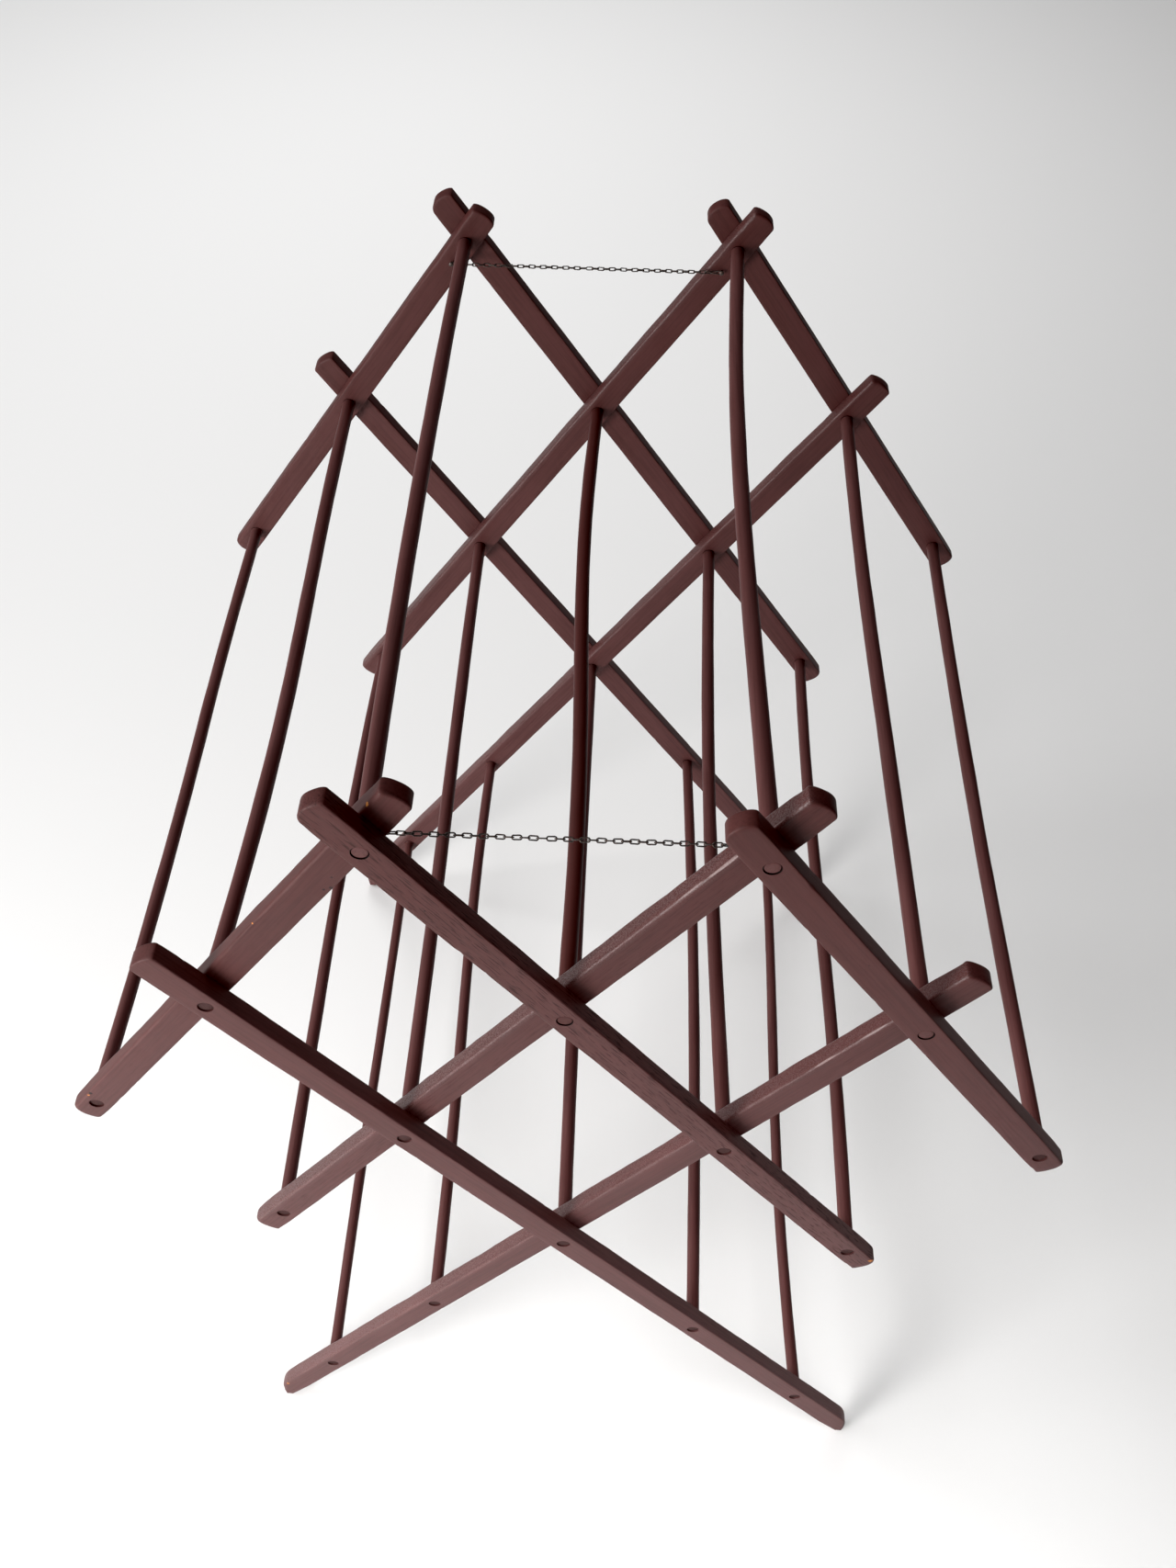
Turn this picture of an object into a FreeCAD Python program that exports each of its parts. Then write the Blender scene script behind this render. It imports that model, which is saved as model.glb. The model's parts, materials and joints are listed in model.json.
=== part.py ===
"""Folding clothes drying rack: two side lattices of wooden slats, joined by round dowels.

Each side lattice has six slats in two layers. The outer layer's slats run down to the right,
the inner layer's slats run down to the left, and they cross on dowels that go right through.
A chain across the top of each lattice stops the rack from opening further.

Millimetres. X points right, Y points to the rear, Z points up. The origin is on the floor,
under the middle of the rack. Every slat lies along its own body's X axis, with its highest
crossing at the body's origin, and every dowel lies along Y.
"""
import FreeCAD, Part
import math
import os
import Sketcher

doc = FreeCAD.newDocument("drying_rack")

# ---------------------------------------------------------------- driving sizes

SIZES = {
    # lattice
    "pitch": 225.0,               # between neighbouring crossings, along every slat
    "slope": 55.0,                # slat to floor, in degrees, with the rack open
    "rack_depth": 770.0,          # outer face to outer face of the two lattices
    "layer_gap": 0.4,             # between the outer and the inner layer of one lattice
    # slats
    "slat_width": 25.0,
    "slat_thickness": 15.0,
    "outer_long_front_tip": 52.0,   # top crossing to the slat's tip: the ends are sawn by eye
    "outer_long_rear_tip": 44.0,
    "outer_leg_front_tip": 67.0,
    "outer_leg_rear_tip": 48.0,
    "outer_short_front_tip": 45.0,
    "outer_short_rear_tip": 42.0,
    "inner_long_front_tip": 53.0,
    "inner_long_rear_tip": 43.0,
    "inner_leg_front_tip": 59.0,
    "inner_leg_rear_tip": 54.0,
    "inner_short_front_tip": 45.0,
    "inner_short_rear_tip": 36.0,
    "long_tail": 37.0,            # end dowel to the slat's lower tip, on the long slats
    "short_front_tail": 26.0,     # the same, on the short slats
    "short_rear_tail": 34.0,
    "end_crown": 24.0,            # radius of the bowed end of a slat
    "corner_soft": 8.0,           # rounding of the lower corner of a top end
    "corner_small": 3.0,          # rounding of the other corners
    "edge_ease": 1.5,             # rounding of the long edges
    # legs
    "floor_reach": 559.0,         # lowest crossing to the floor, along a leg's middle line
    "foot_flat": 10.0,            # length of the flat that a foot stands on
    "foot_round": 25.0,           # radius of the foot's outer corner
    # dowels
    "dowel_diameter": 13.0,
    "tenon_diameter": 11.5,       # where a dowel passes through the slats
    "tenon_recess": 0.5,          # tenon's end below the slat's outer face
    "shoulder_ease": 0.6,         # chamfer on a dowel's shoulder
    "shoulder_gap": 0.3,          # shoulder to the face of a slat that turns on the dowel
    "running_clearance": 0.1,     # radial, in a bore that turns on its dowel
    "long_end_step": 217.0,       # last crossing to the end dowel, on the long slats
    "short_end_step": 213.0,      # the same, on the short slats
    "leg_upper_step": 224.0,      # lowest crossing to the upper leg dowel
    "leg_lower_step": 434.0,      # lowest crossing to the lower leg dowel
    # chains and the nails that hold them
    "chain_drop": 24.0,           # peak crossing to the chain's nail, along the slat
    "chain_standoff": 3.4,        # slat face to the chain's middle plane
    "chain_splay": 6.0,           # the right half chain's drift away from that plane, at its free end
    "link_wire": 1.1,
    "link_width": 4.0,
    "link_play": 0.05,            # left between one link's wire and the next, pulled tight
    "links_per_half": 24.0,
    "nail_shank": 1.4,
    "nail_head": 4.4,
    "nail_head_height": 1.0,
    "nail_bite": 10.0,            # how deep a nail sits in its slat
    "nail_head_gap": 0.4,         # chain wire to the underside of the nail's head
}

sheet = doc.addObject("Spreadsheet::Sheet", "Sizes")
for row, (alias, value) in enumerate(SIZES.items(), start=1):
    sheet.set(f"A{row}", alias)
    sheet.set(f"B{row}", str(value))
    sheet.setAlias(f"B{row}", alias)
doc.recompute()


def size(alias):
    """The value in one cell of the sheet, for the shapes that Part's own functions make."""
    return float(sheet.get(alias))


# ---------------------------------------------------------------- expressions shared by pieces

def cell(alias):
    return f"Sizes.{alias}"


COS = "cos(Sizes.slope * 1deg)"
SIN = "sin(Sizes.slope * 1deg)"
TAN = "tan(Sizes.slope * 1deg)"
PEAK_HEIGHT = f"(Sizes.floor_reach + 3 * Sizes.pitch) * {SIN}"

# Distance of each layer from the rack's middle plane, to the middle of the slat's thickness.
OUTER_LAYER = "(Sizes.rack_depth / 2 - Sizes.slat_thickness / 2)"
INNER_LAYER = f"({OUTER_LAYER} - Sizes.slat_thickness - Sizes.layer_gap)"
INNER_FACE = f"({INNER_LAYER} - Sizes.slat_thickness / 2)"

TENON_BORE = "Sizes.tenon_diameter"
TURNING_BORE = "(Sizes.tenon_diameter + 2 * Sizes.running_clearance)"

# A point of the lattice is (across, down), two lengths measured along the sloping slats: the
# slope turns the first into a distance from the middle and the second into a drop below the peaks.


def lattice_x(across):
    return f"({across}) * {COS}"


def lattice_z(down):
    return f"{PEAK_HEIGHT} - ({down}) * {SIN}"


# ---------------------------------------------------------------- small helpers

def add_body(label):
    body = doc.addObject("PartDesign::Body", label)
    body.Label = label
    return body


def add_sketch(body, name, offset=None):
    """A sketch on the body's own XZ plane; a positive offset moves it towards the front."""
    sketch = body.newObject("Sketcher::SketchObject", f"{body.Name}_{name}")
    plane = next(item for item in body.Origin.OriginFeatures if item.Role == "XZ_Plane")
    sketch.AttachmentSupport = [(plane, "")]
    sketch.MapMode = "FlatFace"
    if offset is not None:
        sketch.setExpression("AttachmentOffset.Base.z", offset)
    return sketch


def constrain(sketch, expression, *arguments):
    """Add a dimension whose value is bound to an expression."""
    index = sketch.addConstraint(Sketcher.Constraint(*arguments))
    sketch.setExpression(f"Constraints[{index}]", expression)


def add_circle(sketch, x_value, x_expression, diameter):
    """A circle on the sketch's X axis."""
    index = sketch.addGeometry(Part.Circle(FreeCAD.Vector(x_value, 0, 0), FreeCAD.Vector(0, 0, 1), 5))
    sketch.addConstraint(Sketcher.Constraint("PointOnObject", index, 3, -1))
    if x_expression == "0":
        sketch.addConstraint(Sketcher.Constraint("PointOnObject", index, 3, -2))
    else:
        constrain(sketch, x_expression, "DistanceX", -1, 1, index, 3, x_value)
    constrain(sketch, diameter, "Diameter", index, 10.0)


def add_pad(body, sketch, length, name, side="Symmetric"):
    pad = body.newObject("PartDesign::Pad", f"{body.Name}_{name}")
    pad.Profile = sketch
    pad.SideType = side
    pad.setExpression("Length", length)
    return pad


def place(body, x, y, z, turn="0"):
    """Bind a body's place, and its turn about Y in degrees."""
    body.Placement = FreeCAD.Placement(FreeCAD.Vector(), FreeCAD.Rotation(FreeCAD.Vector(0, 1, 0), 1))
    body.setExpression("Placement.Base.x", x)
    body.setExpression("Placement.Base.y", y)
    body.setExpression("Placement.Base.z", z)
    body.setExpression("Placement.Rotation.Angle", turn)


def edges_where(shape, test):
    return [f"Edge{number}" for number, edge in enumerate(shape.Edges, start=1) if test(edge)]


def along_y(edge):
    first, last = edge.Vertexes[0].Point, edge.Vertexes[-1].Point
    return abs(last.y - first.y) > abs(last.x - first.x) + abs(last.z - first.z)


def add_fillet(body, base, edges, radius, name):
    fillet = body.newObject("PartDesign::Fillet", f"{body.Name}_{name}")
    fillet.Base = (base, edges)
    fillet.setExpression("Radius", radius)
    doc.recompute()
    return fillet


# ---------------------------------------------------------------- slats

def draw_outline(sketch, tip, tail, foot, upper):
    """Closed outline of a slat, along the sketch's X axis.

    tip and tail are (value, expression) pairs: how far the slat reaches before its first
    crossing and, for a plain slat, after it. A leg's tail is where its middle line meets the
    floor. upper is 1 if the slat's upper edge is on the sketch's +Y side, and -1 if it isn't.
    """
    half = size("slat_width") / 2
    crown = size("end_crown")
    sag = crown - math.sqrt(crown ** 2 - half ** 2)
    left = -tip[0] + sag
    low = FreeCAD.Vector(0, -half * upper, 0)
    high = FreeCAD.Vector(0, half * upper, 0)
    start = FreeCAD.Vector(left, 0, 0)
    top_end = Part.Arc(start + high, FreeCAD.Vector(-tip[0], 0, 0), start + low)

    if foot:
        slope = math.radians(size("slope"))
        toe = FreeCAD.Vector(tail[0] - half / math.tan(slope), -half * upper, 0)
        flat = size("foot_flat")
        edge = toe + FreeCAD.Vector(flat * math.cos(slope), upper * flat * math.sin(slope), 0)
        round_radius = size("foot_round")
        centre_y = upper * (half - round_radius)
        centre_x = edge.x - math.sqrt(round_radius ** 2 - (edge.y - centre_y) ** 2)
        shoulder = FreeCAD.Vector(centre_x, half * upper, 0)
        middle_angle = (math.pi / 2 + math.atan2(upper * (edge.y - centre_y), edge.x - centre_x)) / 2
        middle = FreeCAD.Vector(centre_x + round_radius * math.cos(middle_angle),
                                centre_y + upper * round_radius * math.sin(middle_angle), 0)
        sketch.addGeometry([
            top_end,
            Part.LineSegment(start + low, toe),
            Part.LineSegment(toe, edge),
            Part.Arc(edge, middle, shoulder),
            Part.LineSegment(shoulder, start + high),
        ])
    else:
        end = FreeCAD.Vector(tail[0] - sag, 0, 0)
        sketch.addGeometry([
            top_end,
            Part.LineSegment(start + low, end + low),
            Part.Arc(end + low, FreeCAD.Vector(tail[0], 0, 0), end + high),
            Part.LineSegment(end + high, start + high),
        ])
    last = sketch.GeometryCount - 1
    lower_line, upper_line = 1, last

    # An arc stores its ends anticlockwise, so each joint is found by position.
    ends = [(index, point) for index in range(last + 1) for point in (1, 2)]
    for number, (index, point) in enumerate(ends):
        for other, other_point in ends[number + 1:]:
            near = (sketch.getPoint(index, point) - sketch.getPoint(other, other_point)).Length < 0.001
            if other != index and near:
                joint = "Tangent" if foot and (index, other) == (3, upper_line) else "Coincident"
                sketch.addConstraint(Sketcher.Constraint(joint, index, point, other, other_point))

    sketch.addConstraint(Sketcher.Constraint("Horizontal", lower_line))
    sketch.addConstraint(Sketcher.Constraint("Horizontal", upper_line))
    sketch.addConstraint(Sketcher.Constraint("Symmetric", lower_line, 1, upper_line, 2, -1))
    constrain(sketch, cell("slat_width"), "Distance", lower_line, 1, upper_line, 2, 2 * half)
    constrain(sketch, cell("end_crown"), "Radius", 0, crown)
    constrain(sketch, f"{tip[1]} - Sizes.end_crown", "DistanceX", 0, 3, -1, 1, tip[0] - crown)

    if foot:
        flat_x = f"Sizes.foot_flat * {COS}"
        flat_y = f"Sizes.foot_flat * {SIN}"
        constrain(sketch, f"{tail[1]} - Sizes.slat_width / 2 / {TAN}", "DistanceX", -1, 1, 1, 2, toe.x)
        constrain(sketch, flat_x, "DistanceX", 2, 1, 2, 2, edge.x - toe.x)
        first, second = ((2, 1), (2, 2)) if upper > 0 else ((2, 2), (2, 1))
        constrain(sketch, flat_y, "DistanceY", *first, *second, flat * math.sin(slope))
        constrain(sketch, cell("foot_round"), "Radius", 3, round_radius)
    else:
        sketch.addConstraint(Sketcher.Constraint("PointOnObject", 2, 3, -1))
        constrain(sketch, cell("end_crown"), "Radius", 2, crown)
        constrain(sketch, f"{tail[1]} - Sizes.end_crown", "DistanceX", -1, 1, 2, 3, tail[0] - crown)


def add_slat(label, tip, steps, tail, turning, upper, nail=None, foot=False):
    """One slat: outline, eased edges, and a bore for each dowel.

    steps lists the crossings and end dowels as (value, expression) distances from the first
    crossing; turning holds the positions in that list where the slat turns on its dowel.
    nail is 1 or -1 for a slat with a chain's nail in its rear or its front face.
    """
    body = add_body(label)
    outline = add_sketch(body, "outline")
    draw_outline(outline, tip, tail, foot, upper)
    blank = add_pad(body, outline, cell("slat_thickness"), "blank")
    doc.recompute()

    def corner(edge, at_tip, on_upper):
        point = edge.Vertexes[0].Point
        beside = (point.x < 0) == at_tip and (point.z * upper > 0) == on_upper
        return along_y(edge) and beside and abs(point.z) > size("slat_width") / 2 - 0.01

    soft = edges_where(blank.Shape, lambda edge: corner(edge, True, False))
    solid = add_fillet(body, blank, soft, cell("corner_soft"), "soft_corner")
    small = edges_where(solid.Shape, lambda edge: corner(edge, True, True))
    if not foot:
        small += edges_where(solid.Shape, lambda edge: corner(edge, False, True) or corner(edge, False, False))
    solid = add_fillet(body, solid, small, cell("corner_small"), "small_corners")
    long_edges = edges_where(solid.Shape, lambda edge: not along_y(edge))
    solid = add_fillet(body, solid, long_edges, cell("edge_ease"), "eased_edges")

    bores = add_sketch(body, "bores")
    for number, (value, expression) in enumerate(steps):
        add_circle(bores, value, expression, TURNING_BORE if number in turning else TENON_BORE)
    cut = body.newObject("PartDesign::Pocket", f"{body.Name}_bores_cut")
    cut.Profile = bores
    cut.SideType = "Symmetric"
    cut.setExpression("Length", "2 * Sizes.slat_thickness")
    if nail:
        pilot = add_sketch(body, "pilot", f"{-nail} * Sizes.slat_thickness / 2")
        add_circle(pilot, size("chain_drop"), cell("chain_drop"), cell("nail_shank"))
        hole = body.newObject("PartDesign::Pocket", f"{body.Name}_pilot_cut")
        hole.Profile = pilot
        hole.Reversed = nail > 0
        hole.setExpression("Length", cell("nail_bite"))
    doc.recompute()
    return body


def distance(*terms):
    """A (value, expression) pair for a sum of cells, such as distance("pitch", "pitch")."""
    return sum(size(term) for term in terms), " + ".join(cell(term) for term in terms)


ZERO = (0.0, "0")
ONE = distance("pitch")
TWO = distance("pitch", "pitch")
LONG_END = distance("pitch", "pitch", "long_end_step")
SHORT_END = distance("pitch", "short_end_step")
LEG_UPPER = distance("pitch", "pitch", "leg_upper_step")
LEG_LOWER = distance("pitch", "pitch", "leg_lower_step")

SLAT_STEPS = {
    "long": [ZERO, ONE, TWO, LONG_END],
    "leg": [ZERO, ONE, TWO, LEG_UPPER, LEG_LOWER],
    "short": [ZERO, ONE, SHORT_END],
}


def slat_tail(kind, side):
    """How far a slat reaches past its first crossing, to its lower tip or to the floor."""
    if kind == "leg":
        return distance("pitch", "pitch", "floor_reach")
    if kind == "long":
        return distance("pitch", "pitch", "long_end_step", "long_tail")
    return distance("pitch", "short_end_step", f"short_{side}_tail")


# First crossing of each slat, as (across, down) in pitches. The outer slats run down to the
# right, the inner slats mirror them. A chain's nail goes where the number is, on a peak slat.
OUTER_START = {"long": (-1, 0), "leg": (-2, 1), "short": (1, 0)}
INNER_START = {"long": (1, 0), "leg": (2, 1), "short": (-1, 0)}
CHAINED = ("long", "short")
SIDES = {"front": -1, "rear": 1}

for side, sign in SIDES.items():
    for kind, steps in SLAT_STEPS.items():
        tail = slat_tail(kind, side)
        foot = kind == "leg"
        across, down = OUTER_START[kind]
        slat = add_slat(f"slat_outer_{kind}_{side}", distance(f"outer_{kind}_{side}_tip"),
                        steps, tail, (), 1, foot=foot)
        place(slat, lattice_x(f"{across} * Sizes.pitch"), f"{sign} * {OUTER_LAYER}",
              lattice_z(f"{down} * Sizes.pitch"), cell("slope"))

        across, down = INNER_START[kind]
        crossings = (0, 1) if kind == "short" else (0, 1, 2)
        slat = add_slat(f"slat_inner_{kind}_{side}", distance(f"inner_{kind}_{side}_tip"),
                        steps, tail, crossings, -1, nail=-sign if kind in CHAINED else None, foot=foot)
        place(slat, lattice_x(f"{across} * Sizes.pitch"), f"{sign} * {INNER_LAYER}",
              lattice_z(f"{down} * Sizes.pitch"), "180 - Sizes.slope")

# ---------------------------------------------------------------- dowels

# How a dowel is held: the length between its shoulders, and between its tenons' ends.
CROSSING = (f"2 * ({INNER_FACE} - Sizes.shoulder_gap)", "Sizes.rack_depth - 2 * Sizes.tenon_recess")
OUTER_ONLY = ("Sizes.rack_depth - 2 * Sizes.slat_thickness", "Sizes.rack_depth - 2 * Sizes.tenon_recess")
INNER_ONLY = (f"2 * {INNER_FACE}", f"2 * ({INNER_LAYER} + Sizes.slat_thickness / 2 - Sizes.tenon_recess)")


def add_dowel(label, across, down, held):
    """A round dowel along Y, with a shouldered tenon at each end."""
    shaft_length, whole_length = held
    body = add_body(label)
    shaft = add_sketch(body, "shaft")
    add_circle(shaft, 0.0, "0", cell("dowel_diameter"))
    solid = add_pad(body, shaft, shaft_length, "shaft_pad")
    doc.recompute()
    ease = body.newObject("PartDesign::Chamfer", f"{body.Name}_shoulder")
    ease.Base = (solid, edges_where(solid.Shape, lambda edge: edge.isClosed()))
    ease.setExpression("Size", cell("shoulder_ease"))
    tenon = add_sketch(body, "tenon")
    add_circle(tenon, 0.0, "0", cell("tenon_diameter"))
    add_pad(body, tenon, whole_length, "tenon_pad")
    place(body, lattice_x(across), "0", lattice_z(down))
    doc.recompute()


P = "Sizes.pitch"
LONG_STEP = "Sizes.long_end_step"
SHORT_STEP = "Sizes.short_end_step"
UPPER_STEP = "Sizes.leg_upper_step"
LOWER_STEP = "Sizes.leg_lower_step"

DOWELS = {
    "dowel_peak_left": (f"-{P}", "0", CROSSING),
    "dowel_peak_right": (P, "0", CROSSING),
    "dowel_upper_left": (f"-2 * {P}", P, CROSSING),
    "dowel_upper_middle": ("0", P, CROSSING),
    "dowel_upper_right": (f"2 * {P}", P, CROSSING),
    "dowel_lower_left": (f"-{P}", f"2 * {P}", CROSSING),
    "dowel_lower_right": (P, f"2 * {P}", CROSSING),
    "dowel_lowest_middle": ("0", f"3 * {P}", CROSSING),
    "dowel_wing_left": (f"-2 * {P} - {SHORT_STEP}", f"{P} + {SHORT_STEP}", INNER_ONLY),
    "dowel_wing_right": (f"2 * {P} + {SHORT_STEP}", f"{P} + {SHORT_STEP}", OUTER_ONLY),
    "dowel_tail_left": (f"-{P} - {LONG_STEP}", f"2 * {P} + {LONG_STEP}", INNER_ONLY),
    "dowel_tail_right": (f"{P} + {LONG_STEP}", f"2 * {P} + {LONG_STEP}", OUTER_ONLY),
    "dowel_leg_left_upper": (f"-{UPPER_STEP}", f"3 * {P} + {UPPER_STEP}", INNER_ONLY),
    "dowel_leg_left_lower": (f"-{LOWER_STEP}", f"3 * {P} + {LOWER_STEP}", INNER_ONLY),
    "dowel_leg_right_upper": (UPPER_STEP, f"3 * {P} + {UPPER_STEP}", OUTER_ONLY),
    "dowel_leg_right_lower": (LOWER_STEP, f"3 * {P} + {LOWER_STEP}", OUTER_ONLY),
}
for label, (across, down, held) in DOWELS.items():
    add_dowel(label, across, down, held)

# ---------------------------------------------------------------- chain nails

NAIL_REACH = "(Sizes.chain_standoff + Sizes.link_wire / 2 + Sizes.nail_head_gap)"


def add_nail(label, inward):
    """A round-headed nail along Y. Its head faces the inside of the rack, and inward is its sign."""
    body = add_body(label)
    shank = add_sketch(body, "shank", f"{inward} * Sizes.nail_bite")
    add_circle(shank, 0.0, "0", cell("nail_shank"))
    shank_pad = add_pad(body, shank, f"Sizes.nail_bite + {NAIL_REACH}", "shank_pad", "One side")
    shank_pad.Reversed = inward > 0
    head = add_sketch(body, "head", f"{-inward} * {NAIL_REACH}")
    add_circle(head, 0.0, "0", cell("nail_head"))
    head_pad = add_pad(body, head, cell("nail_head_height"), "head_pad", "One side")
    head_pad.Reversed = inward > 0
    doc.recompute()
    top = edges_where(head_pad.Shape, lambda edge: edge.isClosed() and inward * edge.CenterOfMass.y
                      > size("chain_standoff") + size("nail_head_height"))
    add_fillet(body, head_pad, top, "Sizes.nail_head_height * 0.7", "dome")
    return body


NAIL_ACROSS = "(Sizes.pitch + Sizes.chain_drop)"
for side, sign in SIDES.items():
    for end, across in (("left", f"-{NAIL_ACROSS}"), ("right", "(Sizes.pitch - Sizes.chain_drop)")):
        nail = add_nail(f"nail_{side}_{end}", -sign)
        place(nail, lattice_x(across), f"{sign} * {INNER_FACE}", lattice_z(cell("chain_drop")))

# ---------------------------------------------------------------- chains

X_AXIS = FreeCAD.Vector(1, 0, 0)
Y_AXIS = FreeCAD.Vector(0, 1, 0)
Z_AXIS = FreeCAD.Vector(0, 0, 1)


def link_shape(straight):
    """One oval link in the XZ plane, with its first round end centred on the origin."""
    wire = size("link_wire") / 2
    bend = size("link_width") / 2 - wire
    far_end = Part.makeTorus(bend, wire, FreeCAD.Vector(), Y_AXIS, -180, 180, 180)
    # Half a ring about Y starts at whichever side the kernel picks, so it is turned to face +X.
    angle = math.degrees(math.atan2(far_end.CenterOfMass.z, far_end.CenterOfMass.x))
    far_end.rotate(FreeCAD.Vector(), Y_AXIS, angle)
    near_end = far_end.copy()
    near_end.rotate(FreeCAD.Vector(), Y_AXIS, 180)
    far_end.translate(straight * X_AXIS)
    rails = [Part.makeCylinder(wire, straight, side * bend * Z_AXIS, X_AXIS) for side in (-1, 1)]
    return near_end.fuse([far_end] + rails).removeSplitter()


def add_half_chain(label, nail, half_span, direction, drift):
    """The links from a nail to the middle of the rack, each turned a quarter from the last.

    nail is the point on the nail's middle line, half_span is its distance from the middle,
    direction is 1 towards +X, and drift moves the free end along Y, so that the two halves
    pass each other when the rack folds.
    """
    wire, width, play = size("link_wire"), size("link_width"), size("link_play")
    count = int(size("links_per_half"))
    overlap = width - 2 * wire - play
    # The last link reaches half a wire past the middle of the span, as far as the other half does.
    step = (half_span + wire / 2 - width / 2 + overlap) / count
    straight = step - overlap
    link = link_shape(straight)
    links = []
    for number in range(count):
        piece = link.copy()
        if number % 2:
            piece.rotate(FreeCAD.Vector(), X_AXIS, 90)
        piece.translate(number * step * X_AXIS)
        links.append(piece)
    chain = doc.addObject("Part::Feature", label)
    chain.Label = label
    chain.Shape = Part.makeCompound(links)
    heading = math.degrees(math.atan2(drift, direction * half_span))
    chain.Placement = FreeCAD.Placement(nail, FreeCAD.Rotation(Z_AXIS, heading))


slope = math.radians(size("slope"))
pitch, drop = size("pitch"), size("chain_drop")
half_span = pitch * math.cos(slope)
chain_height = (size("floor_reach") + 3 * pitch - drop) * math.sin(slope)
chain_plane = size("rack_depth") / 2 - 2 * size("slat_thickness") - size("layer_gap") - size("chain_standoff")
for side, sign in SIDES.items():
    left_nail = FreeCAD.Vector((-pitch - drop) * math.cos(slope), sign * chain_plane, chain_height)
    right_nail = FreeCAD.Vector((pitch - drop) * math.cos(slope), sign * chain_plane, chain_height)
    add_half_chain(f"chain_{side}_left", left_nail, half_span, 1, 0.0)
    add_half_chain(f"chain_{side}_right", right_nail, half_span, -1, -sign * size("chain_splay"))

doc.recompute()

# ---------------------------------------------------------------- checks and files

pieces = [item for item in doc.Objects if item.TypeId == "PartDesign::Body"]
pieces += [item for item in doc.Objects if item.TypeId == "Part::Feature"]
for item in doc.Objects:
    if "Invalid" in item.State or "Error" in item.State:
        raise RuntimeError(f"{item.Label}: {item.State}")
for piece in pieces:
    if piece.Shape.isNull() or not piece.Shape.isValid() or piece.Shape.Volume <= 0:
        raise RuntimeError(f"{piece.Label} has no valid solid")

os.makedirs("parts", exist_ok=True)
for piece in pieces:
    piece.Shape.exportStep(f"parts/{piece.Label}.step")
print(len(pieces), "pieces")
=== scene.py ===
# %% [markdown]
# A folding clothes drying rack, finished
# Two side lattices of painted wooden slats carry sixteen round dowels between them, and a
# light chain across each lattice stops the rack from opening further. The design is fixed:
# the frame below brings in every part at its real size and place. This lesson gives each part
# the shape that years of use left it with, and its old maroon paint.

# %% The fixed frame
import json
import math
from itertools import product

import bmesh
import bpy
import numpy as np
from mathutils import Matrix, Vector

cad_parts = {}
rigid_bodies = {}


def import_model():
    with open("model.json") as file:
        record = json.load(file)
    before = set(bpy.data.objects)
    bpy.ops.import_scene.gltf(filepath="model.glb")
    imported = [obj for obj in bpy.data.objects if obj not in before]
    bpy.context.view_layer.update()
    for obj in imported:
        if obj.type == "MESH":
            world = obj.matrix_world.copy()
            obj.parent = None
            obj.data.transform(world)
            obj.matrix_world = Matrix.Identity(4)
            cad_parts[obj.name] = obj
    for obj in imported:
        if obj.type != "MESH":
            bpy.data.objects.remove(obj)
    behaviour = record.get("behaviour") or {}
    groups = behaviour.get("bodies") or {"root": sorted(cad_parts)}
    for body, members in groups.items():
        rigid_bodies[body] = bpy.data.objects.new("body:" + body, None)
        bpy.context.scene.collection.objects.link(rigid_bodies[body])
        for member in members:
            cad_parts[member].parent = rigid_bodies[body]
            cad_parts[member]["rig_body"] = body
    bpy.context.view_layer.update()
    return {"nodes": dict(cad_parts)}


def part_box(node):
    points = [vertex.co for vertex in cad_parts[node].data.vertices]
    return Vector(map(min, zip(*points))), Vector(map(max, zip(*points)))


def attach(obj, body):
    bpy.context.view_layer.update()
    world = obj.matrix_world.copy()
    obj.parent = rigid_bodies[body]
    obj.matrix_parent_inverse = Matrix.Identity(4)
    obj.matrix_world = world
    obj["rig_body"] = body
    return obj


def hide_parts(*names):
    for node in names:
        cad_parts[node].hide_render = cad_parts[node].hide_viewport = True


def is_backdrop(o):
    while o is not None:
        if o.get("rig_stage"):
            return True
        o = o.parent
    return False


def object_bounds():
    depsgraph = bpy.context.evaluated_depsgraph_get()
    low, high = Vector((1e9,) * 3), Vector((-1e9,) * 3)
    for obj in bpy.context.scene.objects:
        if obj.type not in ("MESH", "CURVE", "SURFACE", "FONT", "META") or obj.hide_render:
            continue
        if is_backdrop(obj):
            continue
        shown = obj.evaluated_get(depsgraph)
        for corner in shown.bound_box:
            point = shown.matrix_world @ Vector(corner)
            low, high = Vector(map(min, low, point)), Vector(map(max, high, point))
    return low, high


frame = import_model()

MM = 0.001
TURN = 2 * math.pi

# %% [markdown]
# ## Where everything is
# A dowel is a straight rod along Y, so the box of its CAD node gives its centre line. Each
# slat runs along a straight row of dowels, so the first and the last of them give its
# direction. The places of the dowels and the ends of the slats are all read from the frame.

# %% Centre lines of the dowels
def mesh_points(mesh):
    """All vertices of a mesh as an array with one (x, y, z) row each."""
    points = np.empty(len(mesh.vertices) * 3)
    mesh.vertices.foreach_get("co", points)
    return points.reshape(-1, 3)


def node_points(node):
    """All vertices of a CAD node, whose mesh holds its real place."""
    return mesh_points(frame["nodes"][node].data)


def body_of(node):
    """The name of the CAD body that a node belongs to."""
    return frame["nodes"][node]["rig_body"]


DOWELS = sorted(node for node in frame["nodes"] if node.startswith("dowel_"))
pivot = {}
for node in DOWELS:
    low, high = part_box(node)
    pivot[node.removeprefix("dowel_")] = np.array([low.x + high.x, low.z + high.z]) / 2
print(len(pivot), "dowels, the highest at", round(max(p[1] for p in pivot.values()), 4), "m")

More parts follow.
